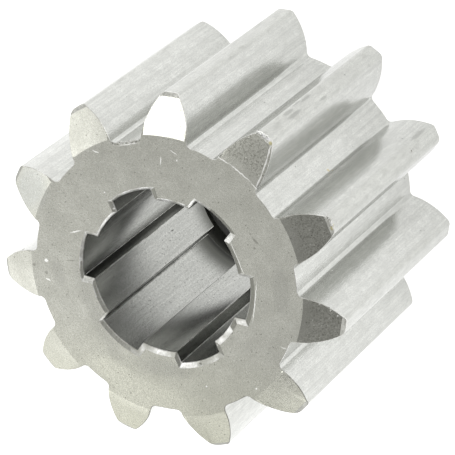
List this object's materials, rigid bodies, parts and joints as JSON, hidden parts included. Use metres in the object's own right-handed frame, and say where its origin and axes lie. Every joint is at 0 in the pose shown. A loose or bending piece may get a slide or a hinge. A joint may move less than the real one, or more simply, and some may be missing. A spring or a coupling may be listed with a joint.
{
  "type": "gear wheel",
  "caption": "Straight-toothed pinion with a splined bore: its rounded teeth slope back at the front end, and it slides onto a splined shaft to drive or be driven by a mating gear.",
  "frame": {"origin": "on the wheel's axis, in the plane of the rear end face", "axes": "+Z along the axis towards the front end with the sloped tooth ends, +X through the middle of one tooth and of one land of the bore"},
  "size_m": [0.0649, 0.0656, 0.0515],
  "materials": {
    "steel": "bare satin steel, finely ground end face, light handling marks"
  },
  "bodies": {
    "root": {"gear_wheel": "steel"}
  },
  "joints": []
}
